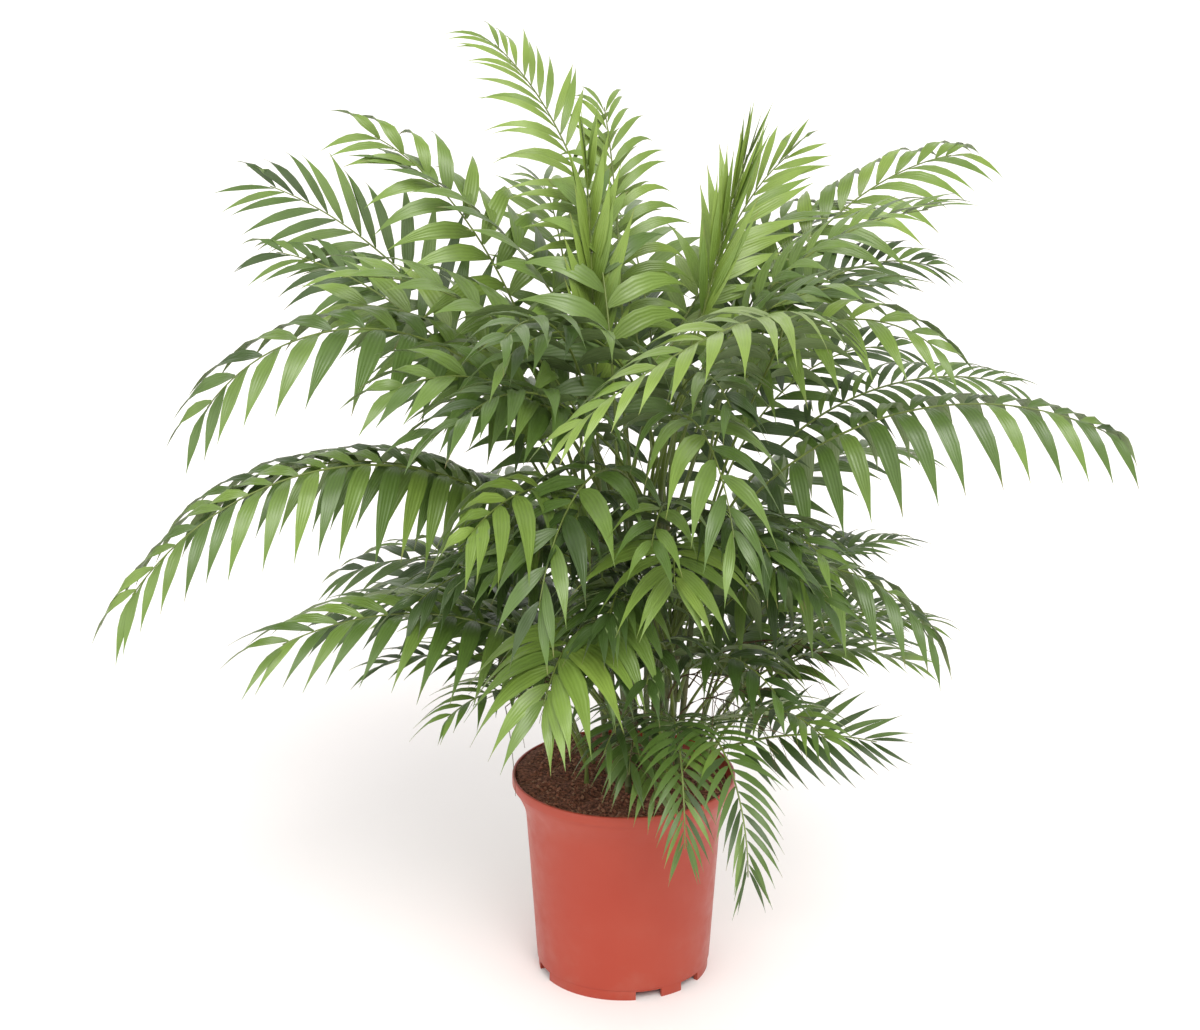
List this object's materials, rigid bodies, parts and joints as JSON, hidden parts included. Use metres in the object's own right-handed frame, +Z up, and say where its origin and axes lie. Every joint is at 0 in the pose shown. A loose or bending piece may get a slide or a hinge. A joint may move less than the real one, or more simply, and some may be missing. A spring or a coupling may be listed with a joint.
{
  "type": "potted parlour palm",
  "caption": "Bushy parlour palm with arching feather fronds on a clump of thin canes, in a round terracotta-coloured plastic nursery pot.",
  "frame": {"origin": "on the floor, at the middle of the whole plant's footprint, on the pot's upright axis", "axes": "+Z up, +X to the plant's right with the longest spread of fronds along it, -Y to its front"},
  "size_m": [1.0786, 0.8321, 1.0192],
  "materials": {
    "pot": "satin",
    "soil": "matte",
    "cane": "satin",
    "frond": "semi-gloss"
  },
  "bodies": {
    "root": {"cane_1": "cane", "cane_10": "cane", "cane_11": "cane", "cane_12": "cane", "cane_2": "cane", "cane_3": "cane", "cane_4": "cane", "cane_5": "cane", "cane_6": "cane", "cane_7": "cane", "cane_8": "cane", "cane_9": "cane", "frond_arch_left": "frond", "frond_arch_right": "frond", "frond_back_1": "frond", "frond_back_2": "frond", "frond_back_3": "frond", "frond_back_4": "frond", "frond_back_5": "frond", "frond_back_right": "frond", "frond_bright_left": "frond", "frond_crest": "frond", "frond_facing": "frond", "frond_far_left": "frond", "frond_front_fan": "frond", "frond_front_high": "frond", "frond_front_left": "frond", "frond_front_low": "frond", "frond_front_middle": "frond", "frond_front_small": "frond", "frond_high_left": "frond", "frond_high_right": "frond", "frond_inner_1": "frond", "frond_inner_2": "frond", "frond_inner_3": "frond", "frond_inner_left": "frond", "frond_long_left": "frond", "frond_long_right": "frond", "frond_low_left": "frond", "frond_low_right": "frond", "frond_middle_left": "frond", "frond_middle_right": "frond", "frond_over_rim": "frond", "frond_over_rim_low": "frond", "frond_shade_left": "frond", "frond_shade_right": "frond", "frond_small_right": "frond", "frond_spear": "frond", "frond_spire": "frond", "frond_tall_right": "frond", "frond_thin_right": "frond", "frond_upright_right": "frond", "pot": "pot", "shoot_1": "frond", "shoot_2": "frond", "shoot_3": "frond", "shoot_4": "frond", "shoot_5": "frond", "shoot_6": "frond", "soil": "soil"}
  },
  "joints": []
}
